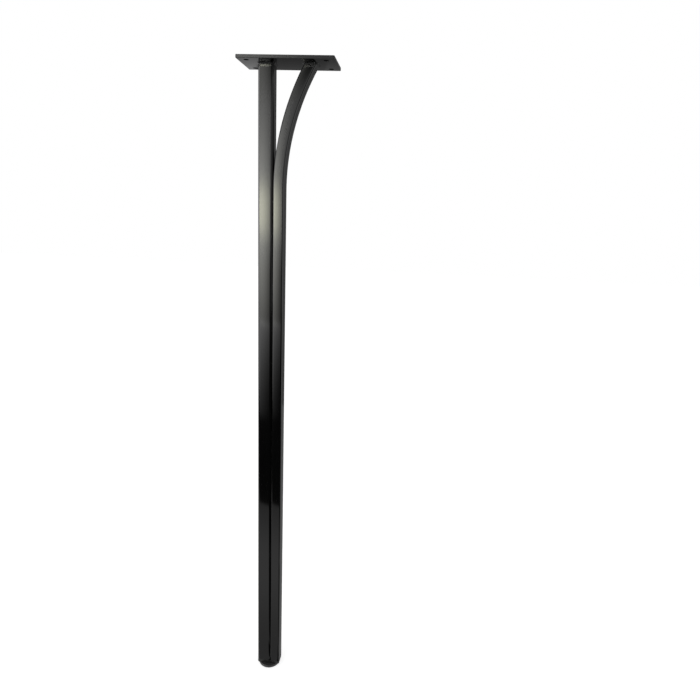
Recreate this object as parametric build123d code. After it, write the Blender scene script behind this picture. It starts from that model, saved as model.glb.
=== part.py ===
from build123d import *
import os

# A welded steel furniture leg: a mounting plate, a straight square tube, and a narrower tube that runs flush
# beside it and curves away under the plate. A round glide takes the foot of both tubes.
# The origin is the middle of the plate's top face, against the underside of the table top. Z points up,
# X points from the straight tube towards the top of the curved one, and the leg hangs below. Millimetres.

# Overall height, from the floor to the top of the plate
LEG_HEIGHT = 880.0

# Mounting plate, with a screw hole near each corner
PLATE_LENGTH = 120.0
PLATE_DEPTH = 62.0
PLATE_THICKNESS = 4.0
PLATE_CORNER_RADIUS = 1.5
PLATE_EDGE_BREAK = 0.4
HOLE_DIAMETER = 6.5
HOLE_INSET_X = 11.0
HOLE_INSET_Y = 9.5

# Tubes: both have the same depth, so that their front and back faces are flush
UPRIGHT_WIDTH = 20.0
BRACE_WIDTH = 14.0
TUBE_DEPTH = 20.0
TUBE_WALL = 1.5
UPRIGHT_CORNER_RADIUS = 3.5
BRACE_CORNER_RADIUS = 2.0

# The tubes stand this far apart, centre to centre, where they meet the plate
TUBE_SPACING = 56.0
# The brace bends away from the upright over this height, in one arc
CURVE_RISE = 150.0

# Fillet welds under the plate: their leg, and the thickness of their lower edge
FILLET_LEG = 2.0
FILLET_TOE = 0.4

# Stitch welds in the groove between the tubes, on the back
STITCH_COUNT = 5
STITCH_LENGTH = 25.0
STITCH_DEPTH = 1.5
STITCH_CROWN = 0.5

# Foot: a plate across both tube ends, and a glide screwed under it
END_PLATE_THICKNESS = 5.0
GLIDE_DIAMETER = 32.0
GLIDE_HEIGHT = 4.5
GLIDE_TOP_BREAK = 0.6
GLIDE_FLOOR_BREAK = 1.4

# Countersunk screw, with its head clear of the floor and a hexagon socket
SCREW_DIAMETER = 5.0
SCREW_HEAD_DIAMETER = 8.4
SCREW_HEAD_RIM = 0.3
SCREW_RECESS = 0.8
SCREW_SOCKET_WIDTH = 3.0
SCREW_SOCKET_DEPTH = 1.3
SCREW_CLEARANCE = 0.15

# Heights
PLATE_UNDERSIDE = -PLATE_THICKNESS
CURVE_START = PLATE_UNDERSIDE - CURVE_RISE
FLOOR = -LEG_HEIGHT
GLIDE_TOP = FLOOR + GLIDE_HEIGHT
TUBE_END = GLIDE_TOP + END_PLATE_THICKNESS

# Places along X: the tubes' centre lines, the seam where they touch, and the middle of the foot
UPRIGHT_X = -TUBE_SPACING / 2
SEAM_X = UPRIGHT_X + UPRIGHT_WIDTH / 2
BRACE_X = SEAM_X + BRACE_WIDTH / 2
BRACE_TOP_X = TUBE_SPACING / 2
FOOT_X = SEAM_X + (BRACE_WIDTH - UPRIGHT_WIDTH) / 2


def tube_outline(width, radius):
    """Outside of a tube's section."""
    return RectangleRounded(width, TUBE_DEPTH, radius)


def tube_section(width, radius):
    """Wall of a tube's section, with the bore taken out."""
    walls = 2 * TUBE_WALL
    bore = RectangleRounded(width - walls, TUBE_DEPTH - walls, radius - TUBE_WALL)
    return tube_outline(width, radius) - bore


def mounting_plate():
    """Flat plate with broken edges and four plain screw holes."""
    outline = RectangleRounded(PLATE_LENGTH, PLATE_DEPTH, PLATE_CORNER_RADIUS)
    plate = extrude(Pos(Z=PLATE_UNDERSIDE) * outline, PLATE_THICKNESS)
    faces = plate.faces().sort_by(Axis.Z)
    plate = chamfer(faces[0].edges() + faces[-1].edges(), PLATE_EDGE_BREAK)
    corners = GridLocations(PLATE_LENGTH - 2 * HOLE_INSET_X, PLATE_DEPTH - 2 * HOLE_INSET_Y, 2, 2)
    holes = Sketch() + [corner * Circle(HOLE_DIAMETER / 2) for corner in corners]
    return plate - extrude(Pos(Z=PLATE_UNDERSIDE) * holes, PLATE_THICKNESS)


def along_upright(section):
    """A section run straight from the end plate to the mounting plate."""
    return extrude(Pos(UPRIGHT_X, 0, TUBE_END) * section, PLATE_UNDERSIDE - TUBE_END)


def brace_bend():
    """Centre line of the bend: it starts straight up and ends on the plate's underside."""
    return TangentArc((BRACE_X, 0, CURVE_START), (BRACE_TOP_X, 0, PLATE_UNDERSIDE), tangent=(0, 0, 1))


def along_brace(section):
    """A section run beside the upright and round the bend, past the plate, then cut off flat under it."""
    bend = brace_bend()
    straight = Line((BRACE_X, 0, TUBE_END), bend @ 0)
    overrun = Line(bend @ 1, bend @ 1 + (bend % 1) * BRACE_WIDTH)
    swept = sweep(Pos(BRACE_X, 0, TUBE_END) * section, path=Wire([straight, bend, overrun]))
    return split(swept, bisect_by=Plane.XY.offset(PLATE_UNDERSIDE), keep=Keep.BOTTOM)


def fillet_weld(top_x, width, radius, lean, tube):
    """Bead round a tube under the plate. Width is the tube's along X there, and lean its slope, X over Z."""
    def ring(x, z, growth):
        return Pos(x, 0, z) * RectangleRounded(
            width + 2 * growth, TUBE_DEPTH + 2 * growth, radius + growth)

    wide = ring(top_x, PLATE_UNDERSIDE, FILLET_LEG)
    narrow = ring(top_x - lean * FILLET_LEG, PLATE_UNDERSIDE - FILLET_LEG, FILLET_TOE)
    return loft([narrow, wide]) - tube


def upright_weld():
    """Bead round the top of the upright."""
    tube = along_upright(tube_outline(UPRIGHT_WIDTH, UPRIGHT_CORNER_RADIUS))
    return fillet_weld(UPRIGHT_X, UPRIGHT_WIDTH, UPRIGHT_CORNER_RADIUS, 0, tube)


def curved_tube_weld():
    """Bead round the slanted top of the brace, whose cut is longer than the tube is wide."""
    direction = brace_bend() % 1
    lean = direction.X / direction.Z
    cut_width = BRACE_WIDTH / direction.Z
    tube = along_brace(tube_outline(BRACE_WIDTH, BRACE_CORNER_RADIUS))
    return fillet_weld(BRACE_TOP_X, cut_width, BRACE_CORNER_RADIUS, lean, tube)


def seam_welds():
    """Stitches evenly spaced up the back, each filling the groove between the tubes' round corners."""
    back = TUBE_DEPTH / 2
    width = UPRIGHT_CORNER_RADIUS + BRACE_CORNER_RADIUS
    middle = SEAM_X + (BRACE_CORNER_RADIUS - UPRIGHT_CORNER_RADIUS) / 2
    groove = Pos(middle, back - STITCH_DEPTH / 2) * Rectangle(width, STITCH_DEPTH)
    crown = Pos(middle, back) * Ellipse(width / 2, STITCH_CROWN)
    profile = groove + crown
    for side, radius in ((-1, UPRIGHT_CORNER_RADIUS), (1, BRACE_CORNER_RADIUS)):
        profile -= Pos(SEAM_X + side * radius, back - radius) * Circle(radius)
    pitch = (CURVE_START - TUBE_END) / STITCH_COUNT
    starts = [TUBE_END + (i + 0.5) * pitch - STITCH_LENGTH / 2 for i in range(STITCH_COUNT)]
    return Compound(children=[extrude(Pos(Z=z) * profile, STITCH_LENGTH) for z in starts])


def end_plate():
    """Plate welded across both tube ends and ground flush, with a tapped hole for the glide's screw."""
    outline = Rectangle(UPRIGHT_WIDTH + BRACE_WIDTH, TUBE_DEPTH)
    outline = fillet(outline.vertices().sort_by(Axis.X)[:2], UPRIGHT_CORNER_RADIUS)
    outline = fillet(outline.vertices().sort_by(Axis.X)[-2:], BRACE_CORNER_RADIUS)
    hole = Circle(SCREW_DIAMETER / 2 + SCREW_CLEARANCE)
    return extrude(Pos(FOOT_X, 0, GLIDE_TOP) * (outline - hole), END_PLATE_THICKNESS)


def screw_body(shank_radius, bottom, top):
    """Turned form of the screw, or of the seat that it leaves in the glide."""
    head_radius = SCREW_HEAD_DIAMETER / 2
    cone_bottom = FLOOR + SCREW_RECESS + SCREW_HEAD_RIM
    cone_top = cone_bottom + head_radius - shank_radius
    profile = Polyline((0, bottom), (head_radius, bottom), (head_radius, cone_bottom),
                       (shank_radius, cone_top), (shank_radius, top), (0, top), close=True)
    return Pos(X=FOOT_X) * revolve(make_face(Plane.XZ * profile), Axis.Z)


def foot_glide():
    """Round moulded disc with broken edges and a countersunk seat from below."""
    disc = extrude(Pos(FOOT_X, 0, FLOOR) * Circle(GLIDE_DIAMETER / 2), GLIDE_HEIGHT)
    disc = chamfer(disc.edges().sort_by(Axis.Z)[-1], GLIDE_TOP_BREAK)
    disc = chamfer(disc.edges().sort_by(Axis.Z)[0], GLIDE_FLOOR_BREAK)
    return disc - screw_body(SCREW_DIAMETER / 2 + SCREW_CLEARANCE, FLOOR, GLIDE_TOP)


def glide_screw():
    """Countersunk screw that ends inside the end plate, clear of the tubes' walls."""
    head_flat = FLOOR + SCREW_RECESS
    body = screw_body(SCREW_DIAMETER / 2, head_flat, TUBE_END - SCREW_CLEARANCE)
    socket = RegularPolygon(SCREW_SOCKET_WIDTH / 2, 6, major_radius=False)
    return body - extrude(Pos(FOOT_X, 0, head_flat) * socket, SCREW_SOCKET_DEPTH)


def build():
    """Every piece of the leg, by name."""
    return {
        "mounting_plate": mounting_plate(),
        "upright_tube": along_upright(tube_section(UPRIGHT_WIDTH, UPRIGHT_CORNER_RADIUS)),
        "curved_tube": along_brace(tube_section(BRACE_WIDTH, BRACE_CORNER_RADIUS)),
        "upright_weld": upright_weld(),
        "curved_tube_weld": curved_tube_weld(),
        "seam_welds": seam_welds(),
        "end_plate": end_plate(),
        "foot_glide": foot_glide(),
        "glide_screw": glide_screw(),
    }


os.makedirs("parts", exist_ok=True)
for name, piece in build().items():
    export_step(piece, f"parts/{name}.step")
    print(name, "volume", round(piece.volume), "mm3")
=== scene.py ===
# %% [markdown]
# # A welded steel furniture leg
# The leg is a flat mounting plate, a straight square tube under it, and a narrower tube that runs flush
# beside the first and curves away to the plate's other end. A round glide takes the foot. Places and sizes
# are those of the CAD model, in metres. This script draws the tubes smooth, lays the weld beads, moulds the
# glide's round edges, gives each piece its finish, and sets up the camera and the light.

# %% Load the frame
import bpy
import math
import random
from mathutils import Matrix, Vector


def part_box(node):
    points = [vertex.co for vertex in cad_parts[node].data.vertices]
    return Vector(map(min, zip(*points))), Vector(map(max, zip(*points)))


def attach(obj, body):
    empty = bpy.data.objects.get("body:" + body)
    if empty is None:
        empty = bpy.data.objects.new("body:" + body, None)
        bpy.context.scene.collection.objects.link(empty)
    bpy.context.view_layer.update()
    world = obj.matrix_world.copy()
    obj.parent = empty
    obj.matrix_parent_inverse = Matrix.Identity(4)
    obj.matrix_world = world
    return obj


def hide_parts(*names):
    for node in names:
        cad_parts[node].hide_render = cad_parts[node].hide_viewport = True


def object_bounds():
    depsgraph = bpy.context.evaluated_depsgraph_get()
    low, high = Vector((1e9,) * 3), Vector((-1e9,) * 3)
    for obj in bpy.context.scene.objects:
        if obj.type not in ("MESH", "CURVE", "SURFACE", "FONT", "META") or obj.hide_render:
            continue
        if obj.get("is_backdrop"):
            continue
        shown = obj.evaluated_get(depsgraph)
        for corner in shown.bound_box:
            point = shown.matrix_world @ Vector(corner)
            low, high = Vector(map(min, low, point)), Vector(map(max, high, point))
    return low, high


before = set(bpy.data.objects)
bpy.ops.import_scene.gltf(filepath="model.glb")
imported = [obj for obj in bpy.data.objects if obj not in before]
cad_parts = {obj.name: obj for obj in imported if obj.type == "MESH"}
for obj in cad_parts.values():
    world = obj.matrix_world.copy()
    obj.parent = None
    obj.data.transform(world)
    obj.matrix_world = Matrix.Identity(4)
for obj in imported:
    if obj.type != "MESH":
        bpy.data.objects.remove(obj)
cad_low, cad_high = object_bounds()
MM = 0.001
print("CAD box in mm:", [round(side / MM, 1) for side in cad_high - cad_low])

# %% [markdown]
# ## Camera
# The photograph was taken from close by with a fairly wide lens, at a height between the plate and the
# middle of the leg: the plate shows its underside, and the foot is seen from above. Place, turn and lens
# came from one fit to the corners of the plate, the edges of the tubes and the foot, so no shift is needed.

# %% Set the camera
EYE = (0.16459, -0.76545, -0.17415)
EYE_TURN = (76.27, -2.163, 6.197)
LENS_MM = 29.755
SENSOR_MM = 36.0

bpy.ops.object.select_all(action="DESELECT")
bpy.ops.object.camera_add(location=EYE, rotation=[math.radians(angle) for angle in EYE_TURN])
camera = bpy.context.object
camera.data.lens = LENS_MM
camera.data.sensor_width = SENSOR_MM
bpy.context.scene.camera = camera
bpy.context.scene.view_settings.view_transform = "Standard"
print("camera at", EYE, "with a lens of", LENS_MM, "mm")

# %% [markdown]
# ## Two helpers for colours and nodes
# A colour is easiest to pick as an sRGB hex value, but a shader mixes light, which is linear, so one
# function turns the first into the second. The other adds a node, sets what is given and links what comes
# from another node. A Mix node has a set of sockets for each kind of value, so those for colours are known
# by their numbers.

# %% Colour and node helpers
MIX_FACTOR = 0
MIX_FIRST = 6
MIX_SECOND = 7
MIX_RESULT = 2


def linear(hex_colour):
    """Linear RGBA of an sRGB hex colour."""
    channels = [int(hex_colour[i:i + 2], 16) / 255 for i in (1, 3, 5)]
    return [c / 12.92 if c <= 0.04045 else ((c + 0.055) / 1.055) ** 2.4 for c in channels] + [1.0]


def add_node(tree, kind, settings=None, inputs=None):
    """A new node with its settings, and each input either given a value or linked from a socket."""
    node = tree.nodes.new(kind)
    for name, value in (settings or {}).items():
        setattr(node, name, value)
    for name, value in (inputs or {}).items():
        if isinstance(value, bpy.types.NodeSocket):
            tree.links.new(value, node.inputs[name])
        else:
            node.inputs[name].default_value = value
    return node


print("black #0a0a0a is", [round(c, 4) for c in linear("#0a0a0a")[:3]], "in linear light")

# %% [markdown]
# ## White studio
# The background is plain white. White paper that is only lit never reaches white without too much light on
# the leg. So the world has a strength of 1 for the rays that look at it, straight or by a reflection, and a
# lower one for the light that it gives. The floor is a matte surface that keeps the leg's shadow, with a
# glow on top for the same rays, and the two together come to white.

# %% World and floor
WORLD_LIGHT = 0.5
FLOOR_SIDE = 12.0
FLOOR_COLOUR = "#e4e4e4"
FLOOR_GLOW = 0.66


def rays_that_look(tree):
    """1 for a ray from the eye, a reflection or glass, and 0 for light that falls on things."""
    path = add_node(tree, "ShaderNodeLightPath")
    eye_or_gloss = add_node(tree, "ShaderNodeMath", {"operation": "ADD"},
                            {0: path.outputs["Is Camera Ray"], 1: path.outputs["Is Glossy Ray"]})
    looking = add_node(tree, "ShaderNodeMath", {"operation": "ADD", "use_clamp": True},
                       {0: eye_or_gloss.outputs[0], 1: path.outputs["Is Transmission Ray"]})
    return looking.outputs[0]


world = bpy.data.worlds.new("white_studio")
bpy.context.scene.world = world
world.use_nodes = True
tree = world.node_tree
tree.nodes.clear()
level = add_node(tree, "ShaderNodeMapRange", None,
                 {"Value": rays_that_look(tree), "To Min": WORLD_LIGHT, "To Max": 1.0})
sky = add_node(tree, "ShaderNodeBackground", None, {"Strength": level.outputs[0]})
sky.inputs["Color"].default_value = linear("#ffffff")
add_node(tree, "ShaderNodeOutputWorld", None, {"Surface": sky.outputs[0]})

floor_z = cad_low.z
bpy.ops.object.select_all(action="DESELECT")
bpy.ops.mesh.primitive_plane_add(size=FLOOR_SIDE, location=(0, 0, floor_z))
floor = bpy.context.object
floor.name = "floor"
floor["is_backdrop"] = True

paper = bpy.data.materials.new("matte_white_paper")
paper.use_nodes = True
tree = paper.node_tree
tree.nodes.clear()
glow = add_node(tree, "ShaderNodeMath", {"operation": "MULTIPLY"},
                {0: rays_that_look(tree), 1: FLOOR_GLOW})
white = add_node(tree, "ShaderNodeEmission", None, {"Strength": glow.outputs[0]})
matte = add_node(tree, "ShaderNodeBsdfDiffuse", None, {"Color": linear(FLOOR_COLOUR)})
both = add_node(tree, "ShaderNodeAddShader", None, {0: matte.outputs[0], 1: white.outputs[0]})
add_node(tree, "ShaderNodeOutputMaterial", None, {"Surface": both.outputs[0]})
floor.data.materials.append(paper)
print("floor at", round(floor_z / MM), "mm")

# %% [markdown]
# ## Light
# One large softbox stands to the left behind the camera and gives the plain light and the soft shadow.
# Black paint hardly has a colour of its own, though: what the eye reads as its tone is the reflection of
# the room. So the lamp itself is hidden from reflections, and the cards of the next step are what the paint
# mirrors.

# %% Softbox
LAMP_PLACE = (-2.0, -2.6, -0.15)
LAMP_WIDTH = 2.9
LAMP_HEIGHT = 1.3
LAMP_WATTS = 65.0

bpy.ops.object.select_all(action="DESELECT")
bpy.ops.object.light_add(type="AREA", location=LAMP_PLACE, rotation=(math.radians(90), 0, 0))
lamp = bpy.context.object
lamp.name = "softbox"
lamp.data.shape = "RECTANGLE"
lamp.data.size = LAMP_WIDTH
lamp.data.size_y = LAMP_HEIGHT
lamp.data.energy = LAMP_WATTS
lamp.visible_glossy = False
print("softbox of", LAMP_WIDTH, "by", LAMP_HEIGHT, "m with", LAMP_WATTS, "W")

# %% [markdown]
# ## Cards
# A photographer of black gloss hangs cards that only the reflections see; the eye and the light pass
# through them. A plane with an emission shader does the same here. A card either covers what is behind it
# or, like a lit cloth, adds its glow to it, and it may fade out towards its edges, because a hard edge
# would draw a line on the paint.

# %% The card helper
PLANE_EDGE = 0.5


def card(name, low, high, radiance, fades=None, colour="#ffffff"):
    """A flat card between two corners. With the widths of its fades, it adds a glow to what is behind it."""
    low, high = Vector(low), Vector(high)
    size = high - low
    # The card has no size along one axis, and a plane is turned until its X and Y lie along the other two
    thin = min(range(3), key=lambda axis: size[axis])
    first, second = ((2, 1), (0, 2), (0, 1))[thin]
    turn = ((0, 90, 0), (90, 0, 0), (0, 0, 0))[thin]
    bpy.ops.object.select_all(action="DESELECT")
    bpy.ops.mesh.primitive_plane_add(size=1.0, location=(low + high) / 2,
                                     rotation=[math.radians(angle) for angle in turn])
    board = bpy.context.object
    board.name = name
    board.scale = (size[first], size[second], 1)
    board.visible_camera = False
    board.visible_diffuse = False
    board.visible_shadow = False
    board.visible_transmission = False
    surface = bpy.data.materials.new(name)
    surface.use_nodes = True
    tree = surface.node_tree
    tree.nodes.clear()
    light = add_node(tree, "ShaderNodeEmission", None, {"Color": linear(colour), "Strength": radiance})
    shown = light.outputs[0]
    if fades:
        place = add_node(tree, "ShaderNodeTexCoord").outputs["Object"]
        xyz = add_node(tree, "ShaderNodeSeparateXYZ", None, {0: place})
        level = radiance
        for side, width, length in (("X", fades[0], size[first]), ("Y", fades[1], size[second])):
            off_middle = add_node(tree, "ShaderNodeMath", {"operation": "ABSOLUTE"}, {0: xyz.outputs[side]})
            inside = add_node(tree, "ShaderNodeMapRange", {"interpolation_type": "SMOOTHSTEP"},
                              {"Value": off_middle.outputs[0], "From Min": PLANE_EDGE,
                               "From Max": PLANE_EDGE - width / length})
            faded = add_node(tree, "ShaderNodeMath", {"operation": "MULTIPLY"},
                             {0: inside.outputs[0], 1: level})
            level = faded.outputs[0]
        tree.links.new(level, light.inputs["Strength"])
        behind = add_node(tree, "ShaderNodeBsdfTransparent")
        shown = add_node(tree, "ShaderNodeAddShader", None, {0: behind.outputs[0], 1: shown}).outputs[0]
    add_node(tree, "ShaderNodeOutputMaterial", None, {"Surface": shown})
    board.data.materials.append(surface)
    board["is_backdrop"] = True
    print(name, "is", [round(side, 2) for side in size], "m")


# %% [markdown]
# The fronts of the tubes mirror the wall and the ground behind the camera. On the wall, a wide glow, a
# narrower one and a warm strip at eye level lie one over the other and make the highlight below the bend
# and its slow fade. They end to the left of the camera, so each tube is brighter on its left. A faint glow
# runs on to the right of it, and cards on both sides close the room.

# %% Cards on the wall behind the camera
CARD_LIFT = 0.001
ROOM_LEFT = -3.5
ROOM_RIGHT = 1.8
ROOM_HEIGHT = 0.9
WALL_Y = -2.70
WALL_RIGHT = 1.5
BACK_Y = 1.2
GLOW_START = -6.0
GLOW_END = -0.373
GLOW_FADE = 0.47

ground = floor_z + CARD_LIFT
card("dark_wall", (ROOM_LEFT, WALL_Y, ground), (WALL_RIGHT, WALL_Y, 1.3), 0.0)
card("wide_glow", (GLOW_START, -2.62, -1.31), (GLOW_END, -2.62, 1.28), 1.8, (GLOW_FADE, 0.52), "#fffffa")
card("middle_glow", (GLOW_START, -2.61, -0.98), (GLOW_END, -2.61, 0.42), 3.0, (GLOW_FADE, 0.58), "#fffff6")
card("strip_glow", (GLOW_START, -2.60, -0.43), (GLOW_END, -2.60, 0.03), 5.6, (GLOW_FADE, 0.20), "#ffffda")
card("side_glow", (GLOW_START, -2.63, -0.57), (WALL_RIGHT, -2.63, 0.59), 1.1, (0.3, 0.28))
card("left_wall", (ROOM_LEFT, -2.5, ground), (ROOM_LEFT, -0.7, ROOM_HEIGHT), 4.0)
card("left_back_wall", (ROOM_LEFT, -0.7, ground), (ROOM_LEFT, BACK_Y, ROOM_HEIGHT), 0.8)
card("right_wall", (ROOM_RIGHT, WALL_Y, ground), (ROOM_RIGHT, -0.85, ROOM_HEIGHT), 0.25)

# %% [markdown]
# Below eye level the fronts mirror the ground. A black card there gives the dark stretch below the middle
# of the leg. Its near edge is sharp, and shows on the gloss as a level line over the grey of the foot. A
# glow over its far part carries the wall's fade down to the dark stretch, and one over the near ground
# lightens the grey. A small black card by the foot is painted shade: the groove between the tubes mirrors
# it and stays dark down to its end, where the real groove is dark from the shade deep inside it.

# %% Cards on the ground in front
BLACK = 0.02
GROUND_RIGHT = 3.0
NEAR_Y = -0.504
NEAR_LEFT = -0.45
NEAR_RIGHT = 0.03
FOOT_Y = -0.12

far_level, near_level, seam_level = [ground + lift * CARD_LIFT for lift in (1, 2, 3)]
card("black_ground", (ROOM_LEFT, WALL_Y, ground), (GROUND_RIGHT, NEAR_Y, ground), BLACK)
card("near_ground", (NEAR_LEFT, NEAR_Y, ground), (NEAR_RIGHT, -0.017, ground), 0.435)
card("black_left_ground", (ROOM_LEFT, NEAR_Y, ground), (NEAR_LEFT, FOOT_Y, ground), BLACK)
card("black_right_ground", (NEAR_RIGHT, NEAR_Y, ground), (GROUND_RIGHT, FOOT_Y, ground), BLACK)
card("black_foot_ground", (NEAR_RIGHT, FOOT_Y, ground), (0.25, -0.02, ground), BLACK)
# Painted shade: a black card that only the groove between the tubes mirrors, standing in for the shade deep
# in the groove
card("painted_groove_shade_card", (-0.008, -0.050, seam_level), (0.017, -0.013, seam_level), BLACK)
card("far_glow", (-4.2, -2.90, far_level), (-0.19, -1.033, far_level), 2.45, (0.80, 0.107))
card("near_glow", (-0.55, NEAR_Y, near_level), (0.12, -0.030, near_level), 0.27, (0.1, 0.22))

# %% [markdown]
# The right side of the leg and the underside of the plate are seen at a flat angle, where even black paint
# mirrors strongly, so darker cards behind the leg keep them from turning pale.

# %% Cards behind
BACK_RIGHT = 1.0
BACK_HEIGHT = 0.5

card("back_ground", (-0.004, -0.012, ground), (BACK_RIGHT, BACK_Y, ground), 0.24)
card("dark_back", (-0.14, BACK_Y, ground), (BACK_RIGHT, BACK_Y, BACK_HEIGHT), 0.14)
card("black_back", (-0.36, BACK_Y, ground), (-0.14, BACK_Y, BACK_HEIGHT), 0.10)
card("grey_back", (-1.2, BACK_Y, ground), (-0.36, BACK_Y, BACK_HEIGHT), 0.43)

# %% [markdown]
# ## Tubes
# Both tubes are drawn steel with round corners, and the narrower one is bent over a former before it is
# welded on. The CAD solids have these forms, but as triangles their corners and the bend come out in
# facets, and gloss paint shows every one. So each tube is made again as a bender makes it: the section is a
# plane with bevelled corners, extruded for the straight run and spun round the centre of the bend. Solidify
# gives the wall, the top is sawn off level under the plate, and weighted normals keep the broad faces flat
# up to the round corners.

# %% The tube helper
TUBE_DEPTH = 20.0 * MM
TUBE_WALL = 1.5 * MM
BEND_RISE = 150.0 * MM
BEND_REACH = 39.0 * MM
BEND_RADIUS = (BEND_RISE ** 2 + BEND_REACH ** 2) / (2 * BEND_REACH)
BEND_ANGLE = math.asin(BEND_RISE / BEND_RADIUS)
BEND_STEPS = 72
CORNER_STEPS = 8
CUT_ACCURACY = 0.001 * MM
SMOOTH_ANGLE = math.radians(35)
FLAT_WEIGHT = 100

plate_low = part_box("mounting_plate")[0]
bend_z = plate_low.z - BEND_RISE


def saw_under_plate(piece):
    """Takes off what reaches above the plate's underside, and closes the cut."""
    bpy.ops.object.select_all(action="DESELECT")
    piece.select_set(True)
    bpy.context.view_layer.objects.active = piece
    bpy.ops.object.mode_set(mode="EDIT")
    bpy.ops.mesh.select_all(action="SELECT")
    bpy.ops.mesh.bisect(plane_co=(0, 0, plate_low.z), plane_no=(0, 0, 1), use_fill=True,
                        clear_outer=True, threshold=CUT_ACCURACY)
    bpy.ops.object.mode_set(mode="OBJECT")


def draw_tube(name, node, middle_x, width, corner, bent):
    """A tube from the lower end of its node to the plate's underside, straight or bent at its top."""
    low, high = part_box(node)
    bpy.ops.object.select_all(action="DESELECT")
    bpy.ops.mesh.primitive_plane_add(size=1.0, location=(middle_x, 0, low.z))
    tube = bpy.context.object
    tube.name = name
    tube.scale = (width, TUBE_DEPTH, 1)
    bpy.ops.object.transform_apply(location=True, rotation=True, scale=True)
    bpy.ops.object.mode_set(mode="EDIT")
    bpy.ops.mesh.select_all(action="SELECT")
    bpy.ops.mesh.bevel(offset=corner, segments=CORNER_STEPS, affect="VERTICES")
    bpy.ops.mesh.delete(type="ONLY_FACE")
    bpy.ops.mesh.select_all(action="SELECT")
    straight_end = bend_z if bent else plate_low.z
    bpy.ops.mesh.extrude_region_move(TRANSFORM_OT_translate={"value": (0, 0, straight_end - low.z)})
    if bent:
        bpy.ops.mesh.spin(steps=BEND_STEPS, angle=-BEND_ANGLE,
                          center=(middle_x + BEND_RADIUS, 0, bend_z), axis=(0, 1, 0))
        overrun = width * Vector((math.sin(BEND_ANGLE), 0, math.cos(BEND_ANGLE)))
        bpy.ops.mesh.extrude_region_move(TRANSFORM_OT_translate={"value": overrun})
    bpy.ops.mesh.select_all(action="SELECT")
    bpy.ops.mesh.remove_doubles(threshold=CUT_ACCURACY)
    bpy.ops.mesh.normals_make_consistent(inside=False)
    bpy.ops.object.mode_set(mode="OBJECT")
    wall = tube.modifiers.new("wall", "SOLIDIFY")
    wall.thickness = TUBE_WALL
    wall.offset = -1.0
    wall.use_even_offset = True
    bpy.ops.object.modifier_apply(modifier=wall.name)
    if bent:
        saw_under_plate(tube)
    bpy.ops.object.shade_smooth_by_angle(angle=SMOOTH_ANGLE)
    flat = tube.modifiers.new("flat_faces", "WEIGHTED_NORMAL")
    flat.keep_sharp = True
    flat.weight = FLAT_WEIGHT
    bpy.ops.object.modifier_apply(modifier=flat.name)
    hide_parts(node)
    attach(tube, "root")
    # The first corner of a bounding box is its lowest, and the seventh its highest
    ends = [Vector(tube.bound_box[i]) for i in (0, 6)]
    off = max(abs(own - solid) for end, box in zip(ends, (low, high)) for own, solid in zip(end, box))
    print(name, "has", len(tube.data.polygons), "faces and is", round(off / MM, 3), "mm off the solid's box")
    return tube


print("bend of", round(BEND_RADIUS / MM, 1), "mm through", round(math.degrees(BEND_ANGLE), 2), "degrees")

# %% Draw the tubes
UPRIGHT_X = -28.0 * MM
UPRIGHT_WIDTH = 20.0 * MM
UPRIGHT_CORNER = 3.5 * MM
BRACE_X = -11.0 * MM
BRACE_WIDTH = 14.0 * MM
BRACE_CORNER = 2.0 * MM

upright = draw_tube("drawn_upright_tube", "upright_tube", UPRIGHT_X, UPRIGHT_WIDTH, UPRIGHT_CORNER, False)
brace = draw_tube("bent_brace_tube", "curved_tube", BRACE_X, BRACE_WIDTH, BRACE_CORNER, True)

# %% [markdown]
# ## One ripple of a weld
# A weld is laid drop by drop: each pool of molten steel freezes over the edge of the last one and leaves a
# ripple. So one ripple is modelled, a sphere a little flattened along the run, and every bead is a row of
# its copies.

# %% Model the ripple
RIPPLE_RADIUS = 1.0 * MM
RIPPLE_FLATNESS = 0.85
RIPPLE_SEGMENTS = 24
RIPPLE_RINGS = 12

bpy.ops.object.select_all(action="DESELECT")
bpy.ops.mesh.primitive_uv_sphere_add(segments=RIPPLE_SEGMENTS, ring_count=RIPPLE_RINGS,
                                     radius=RIPPLE_RADIUS)
ripple = bpy.context.object
ripple.name = "weld_ripple"
bpy.ops.object.mode_set(mode="EDIT")
bpy.ops.mesh.select_all(action="SELECT")
bpy.ops.transform.resize(value=(RIPPLE_FLATNESS, 1, 1))
bpy.ops.object.mode_set(mode="OBJECT")
print("ripple with", len(ripple.data.vertices), "vertices")

# %% [markdown]
# ## From ripples to a bead
# The copies overlap, so a voxel remesh melts them to one closed skin, and a smooth modifier softens the
# creases between them, as the coat of paint does. Each copy is a little larger or smaller than the next,
# from a fixed seed, because a hand never moves at quite one speed.

# %% The bead helper
BEAD_VOXEL = 0.25 * MM
BEAD_SMOOTHING = 5
SIZE_VARIATION = 0.07
HAND_SEED = 11

hand = random.Random(HAND_SEED)


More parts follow.
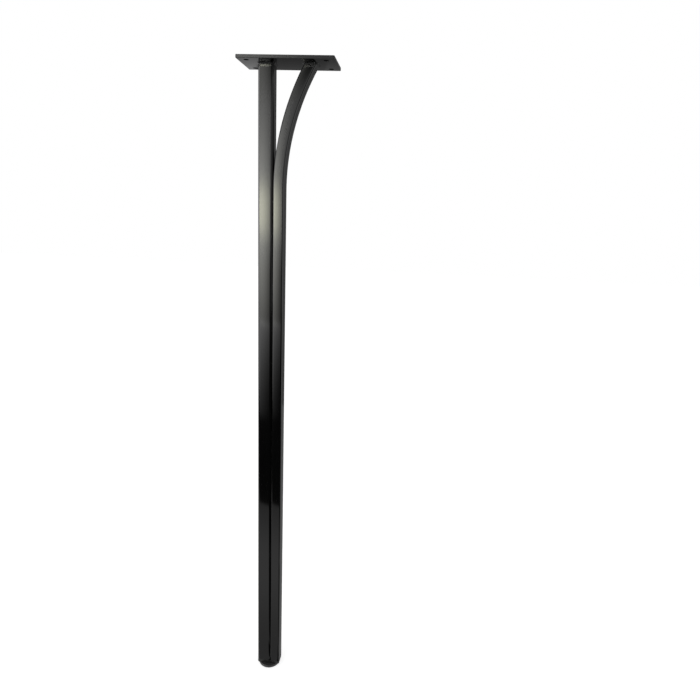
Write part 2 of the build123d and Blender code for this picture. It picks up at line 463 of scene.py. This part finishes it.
def lay_bead(name, run, half_length, half_width, half_height, replaced):
    """Ripples at the places of a run, each turned along the bead and out of it, melted to one piece."""
    bpy.ops.object.select_all(action="DESELECT")
    for place, along, out in run:
        copy = ripple.copy()
        copy.data = ripple.data.copy()
        bpy.context.collection.objects.link(copy)
        axes = Matrix((along, out.cross(along), out)).transposed().to_4x4()
        size = 1 + hand.uniform(-SIZE_VARIATION, SIZE_VARIATION)
        scale = Matrix.Diagonal((half_length * size, half_width * size, half_height * size, 1))
        copy.matrix_world = Matrix.Translation(place) @ axes @ scale
        copy.select_set(True)
        bpy.context.view_layer.objects.active = copy
    bpy.ops.object.join()
    bead = bpy.context.object
    bead.name = name
    bpy.ops.object.transform_apply(location=True, rotation=True, scale=True)
    melt = bead.modifiers.new("melt", "REMESH")
    melt.mode = "VOXEL"
    melt.voxel_size = BEAD_VOXEL
    bpy.ops.object.modifier_apply(modifier=melt.name)
    soften = bead.modifiers.new("soften", "SMOOTH")
    soften.iterations = BEAD_SMOOTHING
    bpy.ops.object.modifier_apply(modifier=soften.name)
    bpy.ops.object.shade_smooth()
    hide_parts(replaced)
    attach(bead, "root")
    print(name, "from", len(run), "ripples has", len(bead.data.polygons), "faces")
    return bead


print("beads are melted at", BEAD_VOXEL / MM, "mm")

# %% [markdown]
# ## Beads under the plate
# Both tubes are welded to the plate all round. The run follows the tube's outline, which is a rectangle
# with round corners, and lies in the corner between the tube and the plate. The top of the curved tube is
# cut on a slant, so its outline is longer than the tube is wide, and it moves back as the tube leans away
# below the plate. A good fillet weld is nearly flat from the plate to the tube, so each ripple is turned to
# face out of the corner and sunk into it until only a shallow crown is left.

# %% Lay the fillet welds
BRACE_LEAN = math.tan(BEND_ANGLE)
FILLET_LEG = 2.0 * MM
RIPPLE_STEP = 1.35 * MM
RIPPLE_HALF_LENGTH = 1.6
RIPPLE_HALF_WIDTH = 2.2
RIPPLE_HALF_HEIGHT = 1.0
RIPPLE_SUNK = 0.8 * MM
CORNER_PARTS = 12
TINY = 1e-9
UP = Vector((0, 0, 1))


def loop_run(centre, half_x, half_y, radius):
    """Equal steps round a level rectangle with round corners, each with its direction."""
    outline = []
    for quarter, (side_x, side_y) in enumerate(((1, 1), (-1, 1), (-1, -1), (1, -1))):
        corner = centre + Vector((side_x * (half_x - radius), side_y * (half_y - radius), 0))
        for part in range(CORNER_PARTS + 1):
            angle = math.radians(90 * quarter + 90 / CORNER_PARTS * part)
            outline.append(corner + radius * Vector((math.cos(angle), math.sin(angle), 0)))
    sides = [(a, b) for a, b in zip(outline, outline[1:] + outline[:1]) if (b - a).length > TINY]
    total = sum((b - a).length for a, b in sides)
    step = total / round(total / RIPPLE_STEP)
    run = []
    ahead = 0.0
    for a, b in sides:
        along = (b - a).normalized()
        while ahead < (b - a).length - TINY:
            run.append((a + along * ahead, along))
            ahead += step
        ahead -= (b - a).length
    return run


fillets = []
for node, lean, radius in (("upright_weld", 0.0, UPRIGHT_CORNER),
                           ("curved_tube_weld", BRACE_LEAN, BRACE_CORNER)):
    low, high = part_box(node)
    centre = (low + high) / 2
    centre.z = plate_low.z
    half_x, half_y = [side / 2 - FILLET_LEG / 2 for side in (high - low)[:2]]
    run = []
    for place, along in loop_run(centre, half_x, half_y, radius + FILLET_LEG / 2):
        outward = along.cross(UP)
        on_plate = place + outward * FILLET_LEG / 2
        on_tube = place - outward * FILLET_LEG / 2 - Vector((lean, 0, 1)) * FILLET_LEG
        out = along.cross(on_plate - on_tube).normalized()
        run.append(((on_plate + on_tube) / 2 - out * RIPPLE_SUNK, along, out))
    bead = lay_bead(node + "_bead", run, RIPPLE_HALF_LENGTH, RIPPLE_HALF_WIDTH, RIPPLE_HALF_HEIGHT, node)
    fillets.append(bead)

# %% [markdown]
# The plate is flat, so the part of each ripple that reaches into it is cut away at its underside.

# %% Trim the beads at the plate
for bead in fillets:
    saw_under_plate(bead)
    bpy.ops.object.mode_set(mode="EDIT")
    bpy.ops.mesh.select_all(action="SELECT")
    bpy.ops.mesh.normals_make_consistent(inside=False)
    bpy.ops.object.mode_set(mode="OBJECT")
    bpy.ops.object.shade_smooth_by_angle(angle=SMOOTH_ANGLE)
    top = max(vertex.co.z for vertex in bead.data.vertices)
    print(bead.name, "ends", round((plate_low.z - top) / MM, 3), "mm under the plate")

# %% [markdown]
# ## Stitches up the back
# The two tubes are joined by short stitches in the groove between their round corners. Their places are
# read from the CAD solids, and each is a row of broad, low ripples that starts and stops one step inside
# the solid's ends.

# %% Lay the stitch welds
STITCH_HALF_WIDTH = 2.7
STITCH_HALF_HEIGHT = 1.55
STITCH_STEP = 1.6 * MM
BACK = Vector((0, 1, 0))

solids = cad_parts["seam_welds"]
corners = [solids.matrix_world @ vertex.co for vertex in solids.data.vertices]
heights = sorted({round(corner.z / MM, 1) * MM for corner in corners})
low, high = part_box("seam_welds")
seam = Vector(((low.x + high.x) / 2, high.y - STITCH_HALF_HEIGHT * MM, 0))
run = []
for bottom, top in zip(heights[0::2], heights[1::2]):
    steps = round((top - bottom) / STITCH_STEP) - 1
    for i in range(steps):
        z = bottom + (i + 1) * (top - bottom) / (steps + 1)
        run.append((seam + z * UP, UP, BACK))
stitches = lay_bead("seam_weld_beads", run, STITCH_HALF_HEIGHT, STITCH_HALF_WIDTH, STITCH_HALF_HEIGHT,
                    "seam_welds")
beads = fillets + [stitches]
print(len(heights) // 2, "stitches, each", round((heights[1] - heights[0]) / MM), "mm long")

# The single ripple has done its work
bpy.data.objects.remove(ripple)

# %% [markdown]
# ## Foot glide
# The glide is moulded from nylon, so every edge of it is round. Its profile is one line of points: up the
# bore, over the top, round the rim, over the floor face and back up the seat of the screw. Spun once round
# the middle of the foot, like a part on a lathe, the line becomes the whole disc.

# %% Turn the glide
GLIDE_RADIUS = 16.0
GLIDE_HEIGHT = 4.5
TOP_ROUND = 0.6
FLOOR_ROUND = 1.4
BORE_RADIUS = 2.65
SEAT_RADIUS = 4.2
SEAT_RIM = 1.1
MOUTH_ROUND = 0.3
ROUND_STEPS = 6
MOUTH_STEPS = 3
SPIN_STEPS = 96
MERGE_DISTANCE = 0.01 * MM


def quarter_round(centre_r, centre_z, radius, first, steps=ROUND_STEPS):
    """Points on a quarter circle of the profile, clockwise from an angle in degrees."""
    angles = [math.radians(first - 90 * i / steps) for i in range(steps + 1)]
    return [(centre_r + radius * math.cos(angle), centre_z + radius * math.sin(angle)) for angle in angles]


profile = [(BORE_RADIUS, SEAT_RIM + SEAT_RADIUS - BORE_RADIUS), (BORE_RADIUS, GLIDE_HEIGHT)]
profile += quarter_round(GLIDE_RADIUS - TOP_ROUND, GLIDE_HEIGHT - TOP_ROUND, TOP_ROUND, 90)
profile += quarter_round(GLIDE_RADIUS - FLOOR_ROUND, FLOOR_ROUND, FLOOR_ROUND, 0)
profile += quarter_round(SEAT_RADIUS + MOUTH_ROUND, MOUTH_ROUND, MOUTH_ROUND, 270, MOUTH_STEPS)
profile += [(SEAT_RADIUS, SEAT_RIM), profile[0]]

low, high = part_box("foot_glide")
foot = Vector(((low.x + high.x) / 2, 0, low.z))
points = [foot + Vector((r, 0, z)) * MM for r, z in profile]

bpy.ops.object.select_all(action="DESELECT")
bpy.ops.mesh.primitive_plane_add(size=MM)
glide = bpy.context.object
glide.name = "moulded_glide"
bpy.ops.object.mode_set(mode="EDIT")
bpy.ops.mesh.select_all(action="SELECT")
bpy.ops.mesh.merge(type="CENTER")
bpy.ops.transform.translate(value=points[0])
for start, end in zip(points, points[1:]):
    bpy.ops.mesh.extrude_region_move(TRANSFORM_OT_translate={"value": end - start})
bpy.ops.mesh.select_all(action="SELECT")
bpy.ops.mesh.spin(steps=SPIN_STEPS, angle=math.tau, center=foot, axis=(0, 0, 1))
bpy.ops.mesh.select_all(action="SELECT")
bpy.ops.mesh.remove_doubles(threshold=MERGE_DISTANCE)
bpy.ops.mesh.normals_make_consistent(inside=False)
bpy.ops.object.mode_set(mode="OBJECT")
bpy.ops.object.shade_smooth_by_angle(angle=SMOOTH_ANGLE)
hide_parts("foot_glide")
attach(glide, "root")
print("glide from", len(points), "points has", len(glide.data.polygons), "faces")

# %% [markdown]
# ## Two helpers for finishes
# Every finish starts the same way: an empty node tree, the main shader, its output, and the place on the
# piece in metres. A noise on that place has features about as wide as one over its scale, so a real size in
# millimetres gives the scale. Most of a noise lies between two levels, and a roughness drifts from its low
# to its high value there.

# %% Material helpers
NOISE_LOW = 0.3
NOISE_HIGH = 0.7


def new_material(name):
    """An empty node material with its output, its shader and the place on the piece."""
    material = bpy.data.materials.new(name)
    material.use_nodes = True
    tree = material.node_tree
    tree.nodes.clear()
    shader = add_node(tree, "ShaderNodeBsdfPrincipled")
    add_node(tree, "ShaderNodeOutputMaterial", None, {"Surface": shader.outputs[0]})
    place = add_node(tree, "ShaderNodeTexCoord").outputs["Object"]
    return material, tree, shader, place


def per_metre(size_mm):
    """Scale of a pattern on object coordinates whose features are this wide."""
    return 1 / (size_mm * MM)


print("3 mm features need a scale of", round(per_metre(3)))

# %% [markdown]
# ## The steel under the paint
# Gloss shows forms that are hardly there. Drawn tube is slightly crowned across each face, the heat of the
# welds bows the plate by about a millimetre across its depth, and its sheared edges lean a little. The
# outline hardly shows it, but it spreads the reflections across a face, so it is a bump: a height that
# falls with the square of the way from the middle, which is what a shallow arc of a given radius does. On
# the bent tube the middle follows the bend.

# %% Slight forms for the paint to follow
CROWN_RADIUS = 0.3
BOW_RADIUS = 0.44
EDGE_LEAN = 0.04


def crowned_face(tree, place, middle_x, bend_start, bend_radius):
    """Bump for the slight crown of a tube's faces: the squared way from its middle, which may bend in XZ."""
    xyz = add_node(tree, "ShaderNodeSeparateXYZ", None, {0: place})
    from_bend_x = add_node(tree, "ShaderNodeMath", {"operation": "SUBTRACT"},
                           {0: xyz.outputs["X"], 1: middle_x + bend_radius})
    above = add_node(tree, "ShaderNodeMath", {"operation": "SUBTRACT"},
                     {0: xyz.outputs["Z"], 1: bend_start})
    from_bend_z = add_node(tree, "ShaderNodeMath", {"operation": "MAXIMUM"}, {0: above.outputs[0], 1: 0.0})
    from_bend = add_node(tree, "ShaderNodeCombineXYZ", None,
                         {"X": from_bend_x.outputs[0], "Z": from_bend_z.outputs[0]})
    reach = add_node(tree, "ShaderNodeVectorMath", {"operation": "LENGTH"}, {0: from_bend.outputs[0]})
    across = add_node(tree, "ShaderNodeMath", {"operation": "SUBTRACT"},
                      {0: bend_radius, 1: reach.outputs["Value"]})
    offset = add_node(tree, "ShaderNodeCombineXYZ", None, {"X": across.outputs[0], "Y": xyz.outputs["Y"]})
    square = add_node(tree, "ShaderNodeVectorMath", {"operation": "DOT_PRODUCT"},
                      {0: offset.outputs[0], 1: offset.outputs[0]})
    crown = add_node(tree, "ShaderNodeBump", {"invert": True},
                     {"Height": square.outputs["Value"], "Distance": 1 / (2 * CROWN_RADIUS)})
    return crown.outputs[0]


def bowed_plate(tree, place):
    """Bump for the plate's slight bow across its depth and for the lean of its sheared edges."""
    xyz = add_node(tree, "ShaderNodeSeparateXYZ", None, {0: place})
    square = add_node(tree, "ShaderNodeMath", {"operation": "MULTIPLY"},
                      {0: xyz.outputs["Y"], 1: xyz.outputs["Y"]})
    bow = add_node(tree, "ShaderNodeBump", {"invert": True},
                   {"Height": square.outputs[0], "Distance": 1 / (2 * BOW_RADIUS)})
    lean = add_node(tree, "ShaderNodeBump", None,
                    {"Height": xyz.outputs["Z"], "Distance": EDGE_LEAN, "Normal": bow.outputs[0]})
    return lean.outputs[0]


crown_height = UPRIGHT_WIDTH ** 2 / (8 * CROWN_RADIUS)
print("a crown of", CROWN_RADIUS, "m radius is", round(crown_height / MM, 2), "mm high on the wide tube")

# %% [markdown]
# ## Powder coat
# The leg is powder coated: black powder is blown on the steel, melts in an oven and flows into a thin skin
# of high gloss. It never flows quite flat. Shallow waves a few millimetres wide, called orange peel, and a
# fine grain break up the reflections, and the gloss drifts slowly from place to place. The real grain is
# about a tenth of a millimetre wide, so it is drawn coarser. Tube takes the paint best and the flat plate a
# little less. Over the weld beads the skin is duller, because it is thick in the hollows, and dullest on
# the end plate, whose weld was ground flush. One function makes all of these finishes.

# %% Make the paint
PAINT_DARK = "#020202"
PAINT_LIGHT = "#050505"
PEEL_SIZE = 3.2
PEEL_HEIGHT = 0.0018
GRAIN_SIZE = 0.5
GRAIN_HEIGHT = 0.0002
DRIFT_SIZE = 45.0


def powder_coat(name, roughness, form=None):
    """Black paint with orange peel, a fine grain and a gloss that drifts between two roughnesses."""
    low, high = roughness
    material, tree, shader, place = new_material(name)
    drift = add_node(tree, "ShaderNodeTexNoise", None, {"Vector": place, "Scale": per_metre(DRIFT_SIZE)})
    tone = add_node(tree, "ShaderNodeMix", {"data_type": "RGBA"},
                    {MIX_FACTOR: drift.outputs["Fac"], MIX_FIRST: linear(PAINT_DARK),
                     MIX_SECOND: linear(PAINT_LIGHT)})
    gloss = add_node(tree, "ShaderNodeMapRange", None,
                     {"Value": drift.outputs["Fac"], "From Min": NOISE_LOW, "From Max": NOISE_HIGH,
                      "To Min": low, "To Max": high})
    peel = add_node(tree, "ShaderNodeTexNoise", None,
                    {"Vector": place, "Scale": per_metre(PEEL_SIZE), "Detail": 1.0})
    waves = add_node(tree, "ShaderNodeBump", None,
                     {"Height": peel.outputs["Fac"], "Distance": PEEL_HEIGHT * MM})
    if form:
        tree.links.new(form(tree, place), waves.inputs["Normal"])
    grain = add_node(tree, "ShaderNodeTexNoise", None,
                     {"Vector": place, "Scale": per_metre(GRAIN_SIZE), "Detail": 0.0})
    skin = add_node(tree, "ShaderNodeBump", None,
                    {"Height": grain.outputs["Fac"], "Distance": GRAIN_HEIGHT * MM,
                     "Normal": waves.outputs[0]})
    tree.links.new(tone.outputs[MIX_RESULT], shader.inputs["Base Color"])
    tree.links.new(gloss.outputs[0], shader.inputs["Roughness"])
    tree.links.new(skin.outputs[0], shader.inputs["Normal"])
    print(name, "drifts from", low, "to", high)
    return material


print("orange peel is", PEEL_SIZE, "mm wide and", PEEL_HEIGHT, "mm high")

# %% [markdown]
# Each kind of steel gets a coat with its own gloss. The plate and the tubes also hand over their slight
# form, and the paint lies on that.

# %% Coat the steel
TUBE_ROUGHNESS = (0.06, 0.08)
PLATE_ROUGHNESS = (0.09, 0.12)
WELD_ROUGHNESS = (0.12, 0.18)
END_ROUGHNESS = (0.36, 0.44)
# The upright has no bend, so its crown is told of one that starts above the tube's top
NO_BEND_Z = 0.0
NO_BEND_RADIUS = 1.0


def upright_crown(tree, place):
    """The crown of the straight tube's faces."""
    return crowned_face(tree, place, UPRIGHT_X, NO_BEND_Z, NO_BEND_RADIUS)


def brace_crown(tree, place):
    """The crown of the bent tube's faces."""
    return crowned_face(tree, place, BRACE_X, bend_z, BEND_RADIUS)


# The paint gives the eye a deep black whose tone is the room's reflection, softer on the welds and the foot
plate_paint = powder_coat("black_powder_coat_on_plate", PLATE_ROUGHNESS, bowed_plate)
upright_paint = powder_coat("black_powder_coat_on_tube", TUBE_ROUGHNESS, upright_crown)
brace_paint = powder_coat("black_powder_coat_on_bent_tube", TUBE_ROUGHNESS, brace_crown)
end_paint = powder_coat("black_powder_coat_on_end_plate", END_ROUGHNESS)
weld_paint = powder_coat("black_powder_coat_on_weld", WELD_ROUGHNESS)
for node, finish in (("mounting_plate", plate_paint), ("end_plate", end_paint)):
    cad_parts[node].material_slots[0].material = finish
upright.data.materials.append(upright_paint)
brace.data.materials.append(brace_paint)
for bead in beads:
    bead.data.materials.append(weld_paint)

# %% [markdown]
# ## Moulded nylon
# The glide is black nylon from a spark-eroded mould: a matt skin with a fine, even grain, and paler than
# the paint. The real grain is finer than a tenth of a millimetre, so it is drawn coarser to show at all.

# %% Make the nylon
NYLON_DARK = "#202021"
NYLON_LIGHT = "#2a2a2b"
NYLON_GRAIN = 0.35
NYLON_GRAIN_HEIGHT = 0.006
NYLON_CLOUD = 6.0
NYLON_ROUGHNESS = (0.38, 0.52)

# The nylon gives the eye a soft charcoal edge under the glossy tubes
nylon, tree, shader, place = new_material("black_moulded_nylon")
cloud = add_node(tree, "ShaderNodeTexNoise", None,
                 {"Vector": place, "Scale": per_metre(NYLON_CLOUD), "Detail": 3.0})
tone = add_node(tree, "ShaderNodeMix", {"data_type": "RGBA"},
                {MIX_FACTOR: cloud.outputs["Fac"], MIX_FIRST: linear(NYLON_DARK),
                 MIX_SECOND: linear(NYLON_LIGHT)})
dullness = add_node(tree, "ShaderNodeMapRange", None,
                    {"Value": cloud.outputs["Fac"], "From Min": NOISE_LOW, "From Max": NOISE_HIGH,
                     "To Min": NYLON_ROUGHNESS[0], "To Max": NYLON_ROUGHNESS[1]})
grain = add_node(tree, "ShaderNodeTexNoise", None,
                 {"Vector": place, "Scale": per_metre(NYLON_GRAIN), "Detail": 1.0})
skin = add_node(tree, "ShaderNodeBump", None,
                {"Height": grain.outputs["Fac"], "Distance": NYLON_GRAIN_HEIGHT * MM})
tree.links.new(tone.outputs[MIX_RESULT], shader.inputs["Base Color"])
tree.links.new(dullness.outputs[0], shader.inputs["Roughness"])
tree.links.new(skin.outputs[0], shader.inputs["Normal"])
glide.data.materials.append(nylon)
print("nylon grain of", NYLON_GRAIN, "mm on the glide")

# %% [markdown]
# ## Zinc-plated screw
# The screw that holds the glide is bright zinc over steel. Zinc grows in small crystals, so its tone and
# its gloss change in patches of about a millimetre, and the head carries the faint rings of the lathe. The
# real rings are about a quarter of a millimetre apart, so they are drawn coarser. At a scale of 1, the wave
# texture's rings are a twentieth of tau apart.

# %% Make the zinc
ZINC_DARK = "#a9adb2"
ZINC_LIGHT = "#cfd2d4"
ZINC_PATCH = 1.2
ZINC_ROUGHNESS = (0.24, 0.40)
RING_SPACING = 1.5708
RING_HEIGHT = 0.003
RING_WANDER = 0.4
WAVE_SPACING = math.tau / 20

# The zinc gives the eye a small pale point in the middle of the black foot, seen from below
zinc, tree, shader, place = new_material("zinc_plated_steel")
shader.inputs["Metallic"].default_value = 1.0
patches = add_node(tree, "ShaderNodeTexNoise", None, {"Vector": place, "Scale": per_metre(ZINC_PATCH)})
tone = add_node(tree, "ShaderNodeMix", {"data_type": "RGBA"},
                {MIX_FACTOR: patches.outputs["Fac"], MIX_FIRST: linear(ZINC_DARK),
                 MIX_SECOND: linear(ZINC_LIGHT)})
dullness = add_node(tree, "ShaderNodeMapRange", None,
                    {"Value": patches.outputs["Fac"], "From Min": NOISE_LOW, "From Max": NOISE_HIGH,
                     "To Min": ZINC_ROUGHNESS[0], "To Max": ZINC_ROUGHNESS[1]})
centred = add_node(tree, "ShaderNodeVectorMath", {"operation": "SUBTRACT"}, {0: place, 1: foot})
rings = add_node(tree, "ShaderNodeTexWave", {"wave_type": "RINGS", "rings_direction": "Z"},
                 {"Vector": centred.outputs[0], "Scale": per_metre(RING_SPACING) * WAVE_SPACING,
                  "Distortion": RING_WANDER})
turning = add_node(tree, "ShaderNodeBump", None,
                   {"Height": rings.outputs["Fac"], "Distance": RING_HEIGHT * MM})
tree.links.new(tone.outputs[MIX_RESULT], shader.inputs["Base Color"])
tree.links.new(dullness.outputs[0], shader.inputs["Roughness"])
tree.links.new(turning.outputs[0], shader.inputs["Normal"])
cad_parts["glide_screw"].material_slots[0].material = zinc
print("zinc patches of", ZINC_PATCH, "mm on the screw")

low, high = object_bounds()
print("visual box in mm:", [round(side / MM, 1) for side in high - low])
